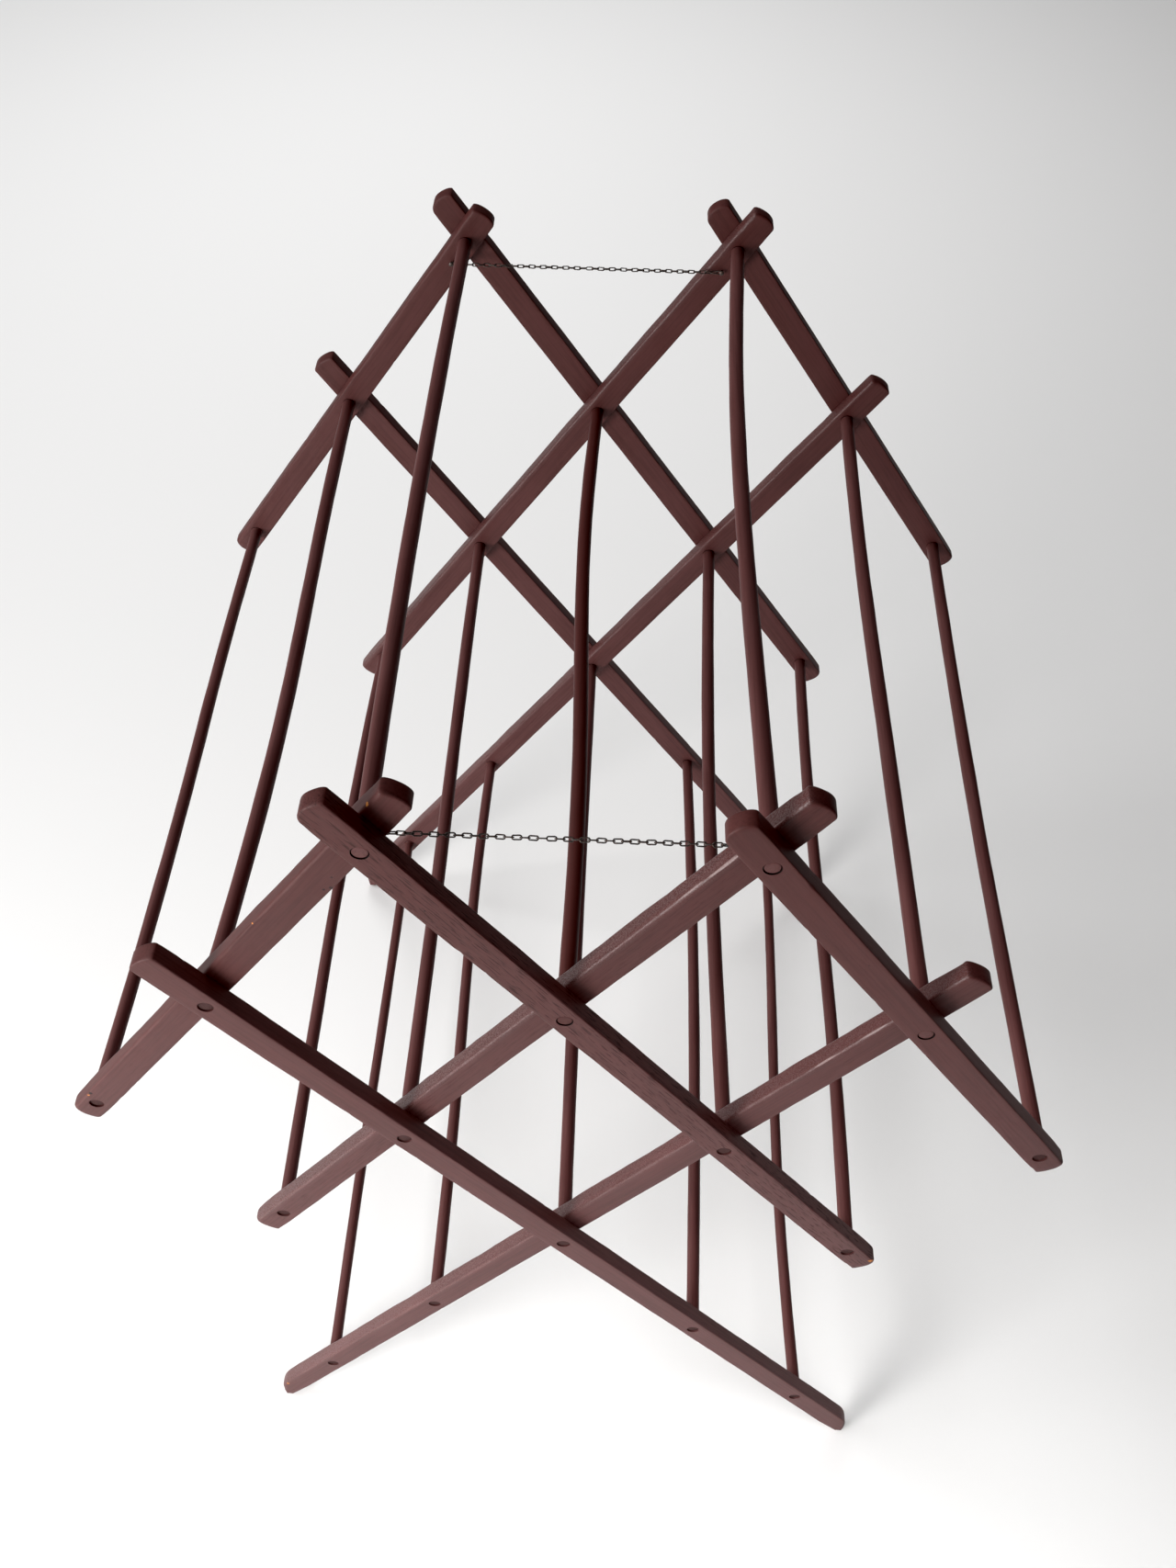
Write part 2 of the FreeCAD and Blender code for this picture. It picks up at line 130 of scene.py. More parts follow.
# %% The row of dowels that each slat runs along, from its top end down
SLAT_ROWS = {
    "outer_long": ["peak_left", "upper_middle", "lower_right", "tail_right"],
    "outer_leg": ["upper_left", "lower_left", "lowest_middle", "leg_right_upper", "leg_right_lower"],
    "outer_short": ["peak_right", "upper_right", "wing_right"],
    "inner_long": ["peak_right", "upper_middle", "lower_left", "tail_left"],
    "inner_leg": ["upper_right", "lower_right", "lowest_middle", "leg_left_upper", "leg_left_lower"],
    "inner_short": ["peak_left", "upper_left", "wing_left"],
}
SIDES = ("front", "rear")
print(len(SLAT_ROWS), "kinds of slat, each in the front and in the rear lattice")

# %% [markdown]
# ## Camera
# The rack is seen from above its front side, at about the height of a standing person's eyes,
# so the far lattice appears above the near one. Three angles aim the camera: how far it looks
# down, how far it turns aside and how far it tips over. From them come the three directions
# that a camera needs: its right, its up and its back.

# %% Camera
LENS = 34.86
SENSOR = 36.0
LOOK_DOWN = math.radians(48.7)
LOOK_ASIDE = math.radians(-1.07)
TIP_OVER = math.radians(-1.3)
CAMERA_PLACE = (0.0238, -0.9736, 1.7548)


def camera_matrix(place, look_down, look_aside, tip_over):
    """A camera's place and axes. Forward is level +Y turned aside and then down; right is level
    and square to it; up is right x forward; last, right and up turn about forward by tip_over."""
    forward = Vector((math.sin(look_aside) * math.cos(look_down),
                      math.cos(look_aside) * math.cos(look_down), -math.sin(look_down)))
    level_right = Vector((math.cos(look_aside), -math.sin(look_aside), 0.0))
    level_up = level_right.cross(forward)
    right = level_right * math.cos(tip_over) - level_up * math.sin(tip_over)
    up = level_up * math.cos(tip_over) + level_right * math.sin(tip_over)
    matrix = Matrix((right, up, -forward)).transposed().to_4x4()
    matrix.translation = place
    return matrix


camera_data = bpy.data.cameras.new("camera")
camera_data.lens = LENS
camera_data.sensor_width = SENSOR
camera = bpy.data.objects.new("camera", camera_data)
camera.matrix_world = camera_matrix(CAMERA_PLACE, LOOK_DOWN, LOOK_ASIDE, TIP_OVER)
bpy.context.scene.collection.objects.link(camera)
bpy.context.scene.camera = camera
print("camera", round(-CAMERA_PLACE[1], 2), "m in front of the middle,", CAMERA_PLACE[2], "m up")

# %% [markdown]
# ## Tools for surfaces
# Every new part is a grid of points worked out as whole arrays: one index runs along the part
# and the other round it. A few helpers are enough: they close a grid into a mesh, make a piece
# of it, give the slow, smooth irregularity of things made by hand, and store what finishes read.

# %% From a grid of points to a mesh
WELD = 0.01 * MM


def grid_faces(rows, columns):
    """Quads between each row and the next. Columns wrap round, so the last joins the first."""
    index = np.arange(rows * columns).reshape(rows, columns)
    beside = np.roll(index, -1, axis=1)
    quads = np.stack([index[:-1], beside[:-1], beside[1:], index[1:]], axis=-1)
    return quads.reshape(-1, 4)


def closed_mesh(name, points, faces):
    """A mesh whose doubled points are merged and whose faces all point outwards."""
    mesh = bpy.data.meshes.new(name)
    mesh.from_pydata(points.reshape(-1, 3), [], faces)
    work = bmesh.new()
    work.from_mesh(mesh)
    bmesh.ops.remove_doubles(work, verts=work.verts, dist=WELD)
    bmesh.ops.recalc_face_normals(work, faces=work.faces)
    work.to_mesh(mesh)
    work.free()
    return mesh


def shade_smooth(mesh, angle):
    """Shade a mesh smooth, except over edges sharper than the angle in degrees."""
    mesh.polygons.foreach_set("use_smooth", np.ones(len(mesh.polygons), bool))
    mesh.set_sharp_from_angle(angle=math.radians(angle))


def new_piece(name, mesh, angle=35):
    """A smooth object at the origin."""
    piece = bpy.data.objects.new(name, mesh)
    bpy.context.scene.collection.objects.link(piece)
    shade_smooth(mesh, angle)
    return piece


# %% Smooth irregularity, and values that a finish reads
OCTAVES = 4


def wander(t, seed, period):
    """A smooth random curve between about -1 and 1: a sum of sines, each 1.9 times as fast and
    0.6 times as high as the last, with phases drawn from the seed."""
    step = np.arange(OCTAVES)
    phase = np.random.default_rng(seed).uniform(0, TURN, OCTAVES)
    height = 0.6 ** step
    waves = np.sin(TURN * np.asarray(t)[..., None] * 1.9 ** step / period + phase)
    return (waves * height).sum(-1) / height.sum() * 1.4


def store(mesh, name, kind, values, domain="POINT"):
    """Put one value per point, or per face, on the mesh for a finish to read."""
    attribute = mesh.attributes.new(name, kind, domain)
    field = "vector" if kind == "FLOAT_VECTOR" else "value"
    attribute.data.foreach_set(field, np.asarray(values, np.float32).ravel())


# %% [markdown]
# ## Slats
# A slat is a flat stick with its long edges eased and its top end bowed. It could be a box
# with a Bevel modifier, but a bevel is the same all along, and these edges have been handled
# for decades: sharp in one place, rubbed and nicked in another. So the slat is a surface.
# Its outline in the lattice's plane is a closed curve, and a half section is carried round
# that curve: in from the middle of one face, over the edge, down the side, and back.

# %% Measure a slat on the frame
FOOT_FLAT = 8 * MM
FOOT_ROUND = 50 * MM
SKIN = 0.05 * MM
END_TRIM = 0.8 * MM


def measure_slat(kind, side):
    """A slat's own axes and its reach. Along runs down the slat from its first dowel, across is
    square to it and points up, and the reach is how far the CAD vertices go either way."""
    stops = [pivot[stop] for stop in SLAT_ROWS[kind]]
    run = stops[-1] - stops[0]
    along = run / np.linalg.norm(run)
    across = np.array([-along[1], along[0]])
    across *= np.sign(across[1])
    points = node_points(f"slat_{kind}_{side}")
    flat = points[:, [0, 2]] - stops[0]
    return {
        "along": along,
        "across": across,
        "start": stops[0],
        "tip": (flat @ along).min() + END_TRIM,
        "tail": (flat @ along).max() - END_TRIM,
        "half": np.abs(flat @ across).max(),
        "middle": (points[:, 1].min() + points[:, 1].max()) / 2,
        "thick": np.ptp(points[:, 1]),
        "bores": np.array([(stop - stops[0]) @ along for stop in stops]),
        "stops": SLAT_ROWS[kind],
    }


# %% The outline of a slat
EDGE_STEP = 2.5 * MM
END_POINTS = 30


def bowed_end(reach, low_depth, high_depth, half):
    """An end made of two quarter ellipses, from the upper long edge round to the lower one:
    across = half * sin a and out = depth * cos a. A shallow one leaves a crisp corner, because
    its corner's radius is depth squared over half; a deep one leaves a round corner."""
    angle = np.linspace(math.pi / 2, -math.pi / 2, END_POINTS)
    depth = np.where(angle > 0, high_depth, low_depth)
    out = depth * np.cos(angle).clip(0)
    return np.stack([np.sign(reach) * (out - depth) + reach, half * np.sin(angle)], axis=-1)


def foot_end(slat):
    """A foot, from its lower long edge to its upper one: a short flat that lies on the floor,
    and an arc from the flat's end that runs out along the upper edge."""
    half = slat["half"]
    cosine, sine = abs(slat["along"][0]), abs(slat["along"][1])
    toe = np.array([slat["start"][1] / sine - half * cosine / sine, -half])
    heel = toe + FOOT_FLAT * np.array([cosine, sine])
    centre_across = half - FOOT_ROUND
    centre_along = heel[0] - math.sqrt(FOOT_ROUND ** 2 - (heel[1] - centre_across) ** 2)
    first = math.atan2(heel[1] - centre_across, heel[0] - centre_along)
    flat = toe + np.linspace(0, 1, 6)[:-1, None] * (heel - toe)
    angle = np.linspace(first, math.pi / 2, 24)
    arc = np.stack([centre_along + FOOT_ROUND * np.cos(angle),
                    centre_across + FOOT_ROUND * np.sin(angle)], axis=-1)
    return np.concatenate([flat, arc])


def slat_outline(slat, foot, depths):
    """Closed outline as (along, across) rows: top end, lower edge, bottom end, upper edge. The
    two long edges have the same stations, so that the faces meet in the middle."""
    half = slat["half"]
    tip_low, tip_high, tail_low, tail_high = np.array(depths) * MM
    top = bowed_end(slat["tip"], tip_low, tip_high, half)
    bottom = foot_end(slat) if foot else bowed_end(slat["tail"], tail_low, tail_high, half)[::-1]
    first, last = max(top[0, 0], top[-1, 0]), min(bottom[0, 0], bottom[-1, 0])
    stations = np.linspace(first, last, int((last - first) / EDGE_STEP))[1:-1]
    lower = np.stack([stations, np.full(len(stations), -half)], axis=-1)
    return np.concatenate([top, lower, bottom, lower[::-1] * (1, -1)])


# %% Carry the half section round the outline
HOLLOW = 0.12 * MM
FACE_STEPS = np.array([1.0, 0.66, 0.33])
EASE_ANGLES = np.radians([0, 22.5, 45, 67.5, 90])
SIDE_STEPS = np.array([1 / 3, 2 / 3])


def slat_grid(slat, outline, ease):
    """Points of a slat as (ring, outline point, axis). From each outline point a line runs in
    to the nearest point of the slat's spine, a straight segment in the middle of the face. A
    ring is a distance in along that line and a depth below the front face: on the eased edge
    the distance is ease * (1 - sin a) and the depth is ease * (1 - cos a). The faces are also
    uneven: they lie up to the hollow's depth lower, by a slow wander."""
    inner = 0.8 * slat["half"]
    spine = np.stack([outline[:, 0].clip(slat["tip"] + inner, slat["tail"] - 2 * inner),
                      np.zeros(len(outline))], axis=-1)
    gap = np.linalg.norm(spine - outline, axis=1)
    inward = (spine - outline) / gap[:, None]
    thick = slat["thick"] - 2 * SKIN

    face_in = ease + (gap - ease) * FACE_STEPS[:, None]
    ease_in = ease * (1 - np.sin(EASE_ANGLES))[:, None]
    ease_depth = ease * (1 - np.cos(EASE_ANGLES))[:, None]
    side_depth = ease + (thick - 2 * ease) * SIDE_STEPS[:, None]
    distance = np.concatenate([face_in, ease_in, 0 * side_depth, ease_in[::-1], face_in[::-1]])
    depth = np.concatenate([0 * face_in, ease_depth, side_depth,
                            thick - ease_depth[::-1], thick + 0 * face_in])

    flat = outline + inward * distance[..., None]
    sunk = HOLLOW * (1 + wander(flat[..., 0] + 0.7 * flat[..., 1], slat["seed"], 0.09)) / 2
    depth = thick / 2 - (thick / 2 - depth) * (1 - sunk / (thick / 2))
    return flat, depth - thick / 2


def to_world(slat, flat, through):
    """World points of a slat's own (along, across) points at a distance through its thickness."""
    place = slat["start"] + flat[..., :1] * slat["along"] + flat[..., 1:] * slat["across"]
    return np.stack([place[..., 0], slat["middle"] + through, place[..., 1]], axis=-1)


# %% Wear on the long edges
NICKS = 9
LOWER_EASE = 0.8 * MM
UPPER_EASE = {"outer": 1.0 * MM, "inner": 2.3 * MM}
TIP_EASE = 0.7 * MM
TAIL_EASE = {"long": 2.6 * MM, "leg": 5.2 * MM, "short": 2.8 * MM}
END_WEAR = {"long": 14 * MM, "leg": 22 * MM, "short": 14 * MM}


def edge_ease(slat, outline, kind, rng):
    """How far the edge is rounded at each outline point. It goes from the lower edge's rounding to
    the upper edge's, times a slow wander, plus more at both ends, where the extra falls off as
    exp(-(d / wear) ^ 2), plus a few nicks, each a bell curve round its own place."""
    steps = np.linalg.norm(np.diff(outline, axis=0, prepend=outline[-1:]), axis=1)
    travel = np.cumsum(steps)
    places = rng.uniform(0, travel[-1], NICKS)
    widths = rng.uniform(1.5, 4.5, NICKS) * MM
    depths = rng.uniform(0.2, 1.0, NICKS) * MM
    nicks = (depths * np.exp(-((travel[:, None] - places) / widths) ** 2)).sum(1)
    height = (outline[:, 1] / slat["half"] + 1) / 2
    layer, length = kind.split("_")
    base = LOWER_EASE + (UPPER_EASE[layer] - LOWER_EASE) * height
    base = base * (1 + 0.3 * wander(travel, slat["seed"] + 1, 0.13))
    to_tip, to_tail = outline[:, 0] - slat["tip"], slat["tail"] - outline[:, 0]
    at_tip = TIP_EASE * np.exp(-(to_tip / END_WEAR[length]) ** 2)
    at_tail = TAIL_EASE[length] * np.exp(-(to_tail / END_WEAR[length]) ** 2)
    return (base + at_tip + at_tail + nicks).clip(None, 0.46 * slat["thick"])


# %% How far some front ends have sunk into their slats, in millimetres
SUNK = {
    "tail_left": 1.1, "wing_left": 1.0, "leg_left_lower": 1.0, "wing_right": 0.9,
    "leg_right_lower": 0.9, "tail_right": 0.8, "leg_right_upper": 0.8, "leg_left_upper": 0.8,
    "lower_left": 0.7, "lower_right": 0.7, "lowest_middle": 0.7, "upper_left": 0.7,
}
WELL_SUNK = 0.5
# The gap round a tenon: an open ring where its end is flush, and a snug fit where it has sunk.
RING_GAP = 0.5 * MM
SNUG_GAP = 0.25 * MM


def has_sunk(slat):
    """For each bore of a slat, whether the dowel's end in it has sunk well below the face."""
    depths = np.array([SUNK.get(stop, 0.0) for stop in slat["stops"]])
    return (depths > WELL_SUNK) & (slat["middle"] < 0)


# %% What a finish can read from a slat
OPEN_GRAIN = {("outer_long", "front"): 1.0, ("inner_long", "front"): 0.35}
FINE_GRAIN = 0.15
POLISHED = {"inner_long": 1.0, "inner_leg": 0.8}
RUB_REACH = 1.0 * MM
POLISH_REACH = 3 * MM
# Dust and a painted sheen pale the slats' paint from this height down to the floor.
DUST_AND_SHEEN_BELOW = 1.0
# How much painted shade the bore walls keep where a sunk end lets light in.
LIT_WALL_SHADE = 0.15


def mark_slat(mesh, slat, open_grain, polished):
    """Store on each point its place in the slat's own axes, called grain, and its wear and sheen, which
    is three numbers. Rub is exp(-d / 1 mm), where d is the larger of the distances to the outline
    and to the face; dust and a painted sheen thicken from a height of 1 m downwards; the last is how
    open the grain is. Polish grows over 3 mm towards the upper edge, which hands and laundry have made
    shiny.
    Painted shade darkens the walls of the bores, which face across the slat at one radius from a bore.
    It is 1 where the dowel's end is flush and less where the end has sunk and light gets in."""
    points = mesh_points(mesh)
    flat = points[:, [0, 2]] - slat["start"]
    along, across = flat @ slat["along"], flat @ slat["across"]
    through = points[:, 1] - slat["middle"]
    to_side = np.minimum(slat["half"] - np.abs(across),
                         np.minimum(along - slat["tip"], slat["tail"] - along))
    to_face = slat["thick"] / 2 - np.abs(through)
    rub = np.exp(-np.maximum(to_side, to_face).clip(0) / RUB_REACH)
    # Dust and a painted sheen, thicker towards the floor.
    dust_and_sheen = 0.25 + 0.75 * (1 - points[:, 2] / DUST_AND_SHEEN_BELOW).clip(0, 1)
    polish = polished * ((across - slat["half"]) / POLISH_REACH + 1.2).clip(0, 1)
    grain = np.stack([along + slat["seed"], across, through], axis=-1)
    wear_and_sheen = np.stack([rub, dust_and_sheen, np.full(len(rub), open_grain)], axis=-1)
    store(mesh, "polish", "FLOAT", polish)
    store(mesh, "grain", "FLOAT_VECTOR", grain)
    store(mesh, "wear_and_sheen", "FLOAT_VECTOR", wear_and_sheen)

    centres = np.empty(len(mesh.polygons) * 3)
    normals = np.empty(len(mesh.polygons) * 3)
    mesh.polygons.foreach_get("center", centres)
    mesh.polygons.foreach_get("normal", normals)
    flat = centres.reshape(-1, 3)[:, [0, 2]] - slat["start"]
    along, across = flat @ slat["along"], flat @ slat["across"]
    to_bores = np.hypot(along[:, None] - slat["bores"], across[:, None])
    on_wall = (np.abs(to_bores - slat["radii"]) < 0.1 * MM).any(1)
    sideways = np.abs(normals.reshape(-1, 3)[:, 1]) < 0.1
    # Painted shade on the bore walls, weaker where a sunk end lets light in.
    wall_shade = np.where(has_sunk(slat), LIT_WALL_SHADE, 1.0)[to_bores.argmin(1)]
    store(mesh, "painted_shade", "FLOAT", (on_wall & sideways) * wall_shade, "FACE")


# %% Cut the bores
def cut_bores(piece, slat):
    """Subtract one round rod per dowel, all in one Boolean, and keep the result as the mesh."""
    angle = np.linspace(0, TURN, 40, endpoint=False)
    circle = np.stack([np.cos(angle), np.sin(angle)], axis=-1)
    rods = []
    for stop, radius in zip(slat["bores"], slat["radii"]):
        flat = np.broadcast_to(circle * radius + (stop, 0), (2, len(angle), 2))
        ends = np.array([-1, 1])[:, None] * slat["thick"] * np.ones(len(angle))
        rods.append(to_world(slat, flat, ends))
    points = np.concatenate([rod.reshape(-1, 3) for rod in rods])
    count = len(angle)
    sides = grid_faces(2, count)
    faces = []
    for number in range(len(rods)):
        first = number * 2 * count
        lids = np.arange(first, first + 2 * count).reshape(2, count)
        faces += (sides + first).tolist()
        faces += [lids[0, ::-1].tolist(), lids[1].tolist()]
    cutter_mesh = closed_mesh("bores", points, faces)
    cutter = bpy.data.objects.new("bores", cutter_mesh)
    bpy.context.scene.collection.objects.link(cutter)
    modifier = piece.modifiers.new("bores", "BOOLEAN")
    modifier.operation = "DIFFERENCE"
    modifier.solver = "EXACT"
    modifier.object = cutter
    graph = bpy.context.evaluated_depsgraph_get()
    drilled = bpy.data.meshes.new_from_object(piece.evaluated_get(graph))
    piece.modifiers.clear()
    blank = piece.data
    piece.data = drilled
    bpy.data.meshes.remove(blank)
    bpy.data.objects.remove(cutter)
    bpy.data.meshes.remove(cutter_mesh)


# %% The tenons that the bores are cut for
def tenon_radius():
    """The dowels' tenons, measured on one dowel: how far its end points lie from its axis."""
    points = node_points(DOWELS[0])
    ends = points[points[:, 1] > points[:, 1].max() - 0.1 * MM]
    centre = pivot[DOWELS[0].removeprefix("dowel_")]
    return np.linalg.norm(ends[:, [0, 2]] - centre, axis=1).max()


TENON = tenon_radius()
print("tenons are", round(2 * TENON / MM, 2), "mm across")

# %% The slats
# How deep each end's two quarter ellipses are, in millimetres: top lower, top upper, bottom
# lower, bottom upper. Feet have no bowed bottom end.
END_DEPTHS = {
    "outer_long": (10.0, 4.0, 2.5, 9.0),
    "outer_leg": (5.5, 3.5, 0.0, 0.0),
    "outer_short": (9.0, 6.0, 3.0, 7.0),
    "inner_long": (6.5, 4.0, 3.0, 6.5),
    "inner_leg": (4.5, 4.0, 0.0, 0.0),
    "inner_short": (5.5, 4.0, 4.5, 8.0),
}
DRILLED_ANGLE = 38
measured = {}


def make_slat(kind, side, seed):
    """One painted slat in place of its CAD node, with what its finish needs to know."""
    slat = measure_slat(kind, side)
    slat["seed"] = seed
    slat["radii"] = TENON + np.where(has_sunk(slat), SNUG_GAP, RING_GAP)
    measured[kind, side] = slat
    rng = np.random.default_rng(seed)
    outline = slat_outline(slat, kind.endswith("leg"), END_DEPTHS[kind])
    ease = edge_ease(slat, outline, kind, rng)
    flat, through = slat_grid(slat, outline, ease)
    points = to_world(slat, flat, through)
    mesh = closed_mesh("slat", points, grid_faces(*points.shape[:2]))
    piece = new_piece(f"painted_{kind}_{side}", mesh)
    cut_bores(piece, slat)
    shade_smooth(piece.data, DRILLED_ANGLE)
    open_grain = OPEN_GRAIN.get((kind, side), FINE_GRAIN)
    mark_slat(piece.data, slat, open_grain, POLISHED.get(kind, 0.0))
    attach(piece, body_of(f"slat_{kind}_{side}"))
    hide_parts(f"slat_{kind}_{side}")
    return piece


slats = [make_slat(kind, side, 11 + 7 * number)
         for number, (kind, side) in enumerate(product(SLAT_ROWS, SIDES))]
print(len(slats), "slats,", sum(len(piece.data.polygons) for piece in slats), "faces")

# %% [markdown]
# ## Dowels
# The dowels are rods turned by hand or drawn through a plate, and most of them have taken a
# slight bow over the years. A cylinder would look like a steel tube, so each rod is a grid: its
# centre line follows a shallow curve, its thickness drifts, and its tenons end in a slight dome.

# %% Bows, in millimetres sideways: one arch over the whole length, and one S curve
BOWS = {
    "wing_left": (1.5, 1.5), "upper_left": (5.5, 2.5), "peak_left": (-3.0, 0.0),
    "wing_right": (-3.5, 0.0), "upper_right": (-3.0, 1.0), "peak_right": (-8.0, 1.0),
    "tail_right": (0.0, 2.2), "leg_left_lower": (-0.5, -0.5), "leg_left_upper": (-2.5, 1.8),
    "leg_right_upper": (5.0, 0.0), "leg_right_lower": (-5.0, -2.5), "lowest_middle": (-1.5, 0.0),
    "upper_middle": (-3.0, 3.5), "lower_right": (-5.5, 0.0), "lower_left": (0.0, 0.6),
    "tail_left": (-4.0, 0.5),
}
# How much thinner than new each of these has been left, in millimetres on the diameter.
THINNED = {"wing_left": 0.9, "leg_left_lower": 1.0, "leg_left_upper": 0.6, "tail_left": 0.8,
           "leg_right_lower": 0.5, "lower_left": 0.4}

# %% What a finish can read from a dowel
WORN = {"leg_right_upper": 0.75, "upper_right": 0.45, "peak_right": 0.3, "leg_left_lower": 0.3}
# How much dust and painted sheen pale each dowel's paint, with little on the upper middle one.
DUST_AND_SHEEN = {"upper_middle": 0.1}
USUAL_DUST_AND_SHEEN = 0.6
# Painted shade on the front ends that have sunk.
SUNK_END_SHADE = 0.55


def mark_dowel(mesh, name, shoulder, seed):
    """Store grain, the place along and across the rod; wear and sheen, whose rub is 1 on the shoulders
    and elsewhere as high as the rod's paint is worn, and whose dust and painted sheen pale the paint;
    and painted shade, which is 1 on the tenons' sides and about half of that on the front ends that have
    sunk."""
    points = mesh_points(mesh)
    flat = points[:, [0, 2]] - pivot[name]
    grain = np.stack([points[:, 1] + seed, flat[:, 0], flat[:, 1]], axis=-1)
    store(mesh, "grain", "FLOAT_VECTOR", grain)
    from_shoulder = np.abs(np.abs(points[:, 1]) - shoulder)
    rub = np.maximum(np.exp(-from_shoulder / RUB_REACH), WORN.get(name, 0.0))
    dust_and_sheen = np.full(len(rub), DUST_AND_SHEEN.get(name, USUAL_DUST_AND_SHEEN))
    store(mesh, "wear_and_sheen", "FLOAT_VECTOR", np.stack([rub, dust_and_sheen, 0 * rub], axis=-1))
    in_slat = np.abs(points[:, 1]) > shoulder + 0.5 * MM
    on_side = np.hypot(*flat.T) > 0.95 * TENON
    sunk_end = SUNK_END_SHADE * (SUNK.get(name, 0.0) > WELL_SUNK) * (points[:, 1] < 0)
    # Painted shade on the tenons' sides in the slats and on the sunk front ends.
    store(mesh, "painted_shade", "FLOAT", in_slat * np.maximum(on_side, sunk_end))


# %% A dowel's profile
SHAFT_STEP = 6 * MM


def dowel_profile(points, thinned, front_sunk, rng):
    """The y and the radius of each ring from one end to the other, and the shoulder's y. The
    tenon's end is slightly domed, the shoulder has a small chamfer, and the shaft's radius drifts
    to at most about a quarter of a millimetre below its full size."""
    reach = points[:, 1].max()
    centre = (points.min(0) + points.max(0))[[0, 2]] / 2
    radius = np.linalg.norm(points[:, [0, 2]] - centre, axis=1)
    shaft = radius.max()
    shoulder = np.abs(points[:, 1])[radius > shaft - 0.1 * MM].max()
    dome = np.array([0.0, 0.35, 0.7, 0.9, 0.97, 1.0]) * TENON
    rounding = np.array([0.0, 0.02, 0.06, 0.14, 0.32, 0.7]) * MM
    rear_sunk = rng.uniform(0, 0.35) * MM
    step_y = np.array([-0.6, -0.55, -0.05, 0.5]) * MM - shoulder
    step_radius = np.array([TENON, shaft - 0.9 * MM, shaft - 0.25 * MM, shaft - thinned / 2])
    count = int((2 * shoulder - 4 * MM) / SHAFT_STEP)
    shaft_y = np.linspace(-shoulder + 2 * MM, shoulder - 2 * MM, count)
    drift = 0.12 * MM * (wander(shaft_y, int(rng.integers(1000)), 0.21) - 1)
    shaft_radius = shaft - thinned / 2 + drift
    front_y, rear_y = front_sunk + rounding - reach, reach - rear_sunk - rounding[::-1]
    y = np.concatenate([front_y, step_y, shaft_y, -step_y[::-1], rear_y])
    radius = np.concatenate([dome, step_radius, shaft_radius, step_radius[::-1], dome[::-1]])
    return y, radius, shoulder


# %% The dowels
ROUND = 32
HARDLY_SUNK = 0.2


def make_dowel(node, seed):
    """One rod: round it runs an angle, along it runs y. Its centre line is bowed sideways by
    arch * sin(pi t) + ess * sin(2 pi t), where t goes from 0 to 1 between the shoulders."""
    name = node.removeprefix("dowel_")
    rng = np.random.default_rng(seed)
    thinned, front_sunk = THINNED.get(name, 0.0) * MM, SUNK.get(name, HARDLY_SUNK) * MM
    y, radius, shoulder = dowel_profile(node_points(node), thinned, front_sunk, rng)
    t = ((y + shoulder) / (2 * shoulder)).clip(0, 1)
    arch, ess = np.array(BOWS[name]) * MM
    sideways = arch * np.sin(math.pi * t) + ess * np.sin(TURN * t)
    sag = 0.6 * MM * np.sin(math.pi * t) * wander(y, seed, 0.5)
    angle = np.linspace(0, TURN, ROUND, endpoint=False)
    on_shaft = (t * (1 - t) > 0)[:, None]
    uneven = 1 + 0.012 * wander(y[:, None] + 0.02 * np.cos(angle), seed + 3, 0.3) * on_shaft
    out = radius[:, None] * uneven
    x = pivot[name][0] + sideways[:, None] + out * np.cos(angle)
    z = pivot[name][1] + sag[:, None] + out * np.sin(angle)
    points = np.stack([x, np.broadcast_to(y[:, None], x.shape), z], axis=-1)
    mesh = closed_mesh("dowel", points, grid_faces(*points.shape[:2]))
    piece = new_piece(f"painted_{node}", mesh)
    mark_dowel(mesh, name, shoulder, seed)
    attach(piece, body_of(node))
    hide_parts(node)
    return piece


dowels = {node: make_dowel(node, 201 + 5 * number) for number, node in enumerate(DOWELS)}
print(len(dowels), "dowels,", sum(len(piece.data.polygons) for piece in dowels.values()), "faces")

# %% [markdown]
# ## Chains and their nails
# Each side chain is one run of plain oval links between two small nails. The frame has it as
# two halves, because the two halves swing apart from each other when the rack folds, so the
# links are made in two pieces that meet in the middle. A link is a torus drawn out into an
# oval, and all links of a half are worked out in one array: index of the link, angle round the
# oval, angle round the wire. Every link stands a quarter turn from the last, and the whole
# chain also twists slowly on its way from one nail to the other, as such chains do.

# %% What the frame says about the chains
WIRE = 0.55 * MM
LINK_WIDTH = 4.0 * MM
LINK_PLAY = 0.05 * MM
LINKS = 24
ENDS = ("left", "right")


def chain_step(side):
    """The distance from one link to the next, from the length of a half chain in the frame."""
    low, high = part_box(f"chain_{side}_left")
    return (high.x - low.x - 4 * WIRE - LINK_PLAY) / LINKS


def nail_place(side, end):
    """A nail's axis as (x, z), and the y of its point and of its head."""
    low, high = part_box(f"nail_{side}_{end}")
    point, head = (low.y, high.y) if side == "front" else (high.y, low.y)
    return np.array([low.x + high.x, low.z + high.z]) / 2, point, head


print("chain step", round(chain_step("front") / MM, 3), "mm")

# %% Links
OVAL_POINTS = 14
WIRE_POINTS = 6
WOBBLE = 7
TWIST_AT = (0, 9, 43, 2 * LINKS - 1)
TWIST_DEGREES = (0, 48, 48, 90)


def oval_ring(straight):
    """One link as (oval point, wire point, axis) in its own plane. The wire's middle line is
    bend * (cos a, sin a), with the two halves pulled apart by the straight length, and the
    wire's surface lies one radius off it, along the outward normal and the link's own normal."""
    bend = LINK_WIDTH / 2 - WIRE
    around = (np.arange(OVAL_POINTS) + 0.5) / OVAL_POINTS * TURN
    wire = np.arange(WIRE_POINTS) / WIRE_POINTS * TURN
    out = bend + WIRE * np.cos(wire)
    x = out * np.cos(around)[:, None] + (straight / 2 * np.sign(np.cos(around)))[:, None]
    z = out * np.sin(around)[:, None]
    y = np.broadcast_to(WIRE * np.sin(wire), x.shape)
    return np.stack([x, y, z], axis=-1)


